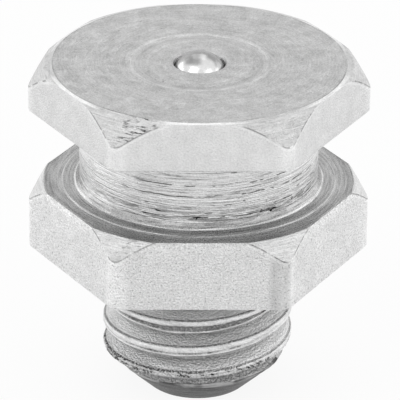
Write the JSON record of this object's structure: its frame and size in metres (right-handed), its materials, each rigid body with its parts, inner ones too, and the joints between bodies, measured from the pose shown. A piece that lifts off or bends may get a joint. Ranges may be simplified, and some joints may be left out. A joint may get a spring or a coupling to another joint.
{
  "type": "button-head grease nipple",
  "caption": "Flat button-head grease nipple turned from hexagon bar, with a wrench hexagon, a coupler groove, a spring-loaded check ball and a coarse male thread.",
  "frame": {"origin": "centre of the thread end's face, which is the lowest point, on the axis of the nipple", "axes": "+Z along the axis from the thread end to the head, +X to a corner of both hexagons, -Y square to a pair of flats, which the picture shows from the front"},
  "size_m": [0.0182, 0.016, 0.0193],
  "materials": {
    "plated_steel": "bright zinc plate over turned and drawn steel, with tool marks",
    "ball_steel": "hardened bearing steel, polished and slightly dulled",
    "spring_steel": "drawn spring wire"
  },
  "bodies": {
    "body": {"nipple_body": "plated_steel", "return_spring": "spring_steel"},
    "ball": {"check_ball": "ball_steel"}
  },
  "joints": [
    {"name": "ball_travel", "type": "slide", "parent": "body", "child": "ball", "axis": [0, 0, -1], "range_m": [0, 0.001], "stiffness_N_per_m": 400, "springref_m": -0.0015, "deforming": ["return_spring"]}
  ]
}
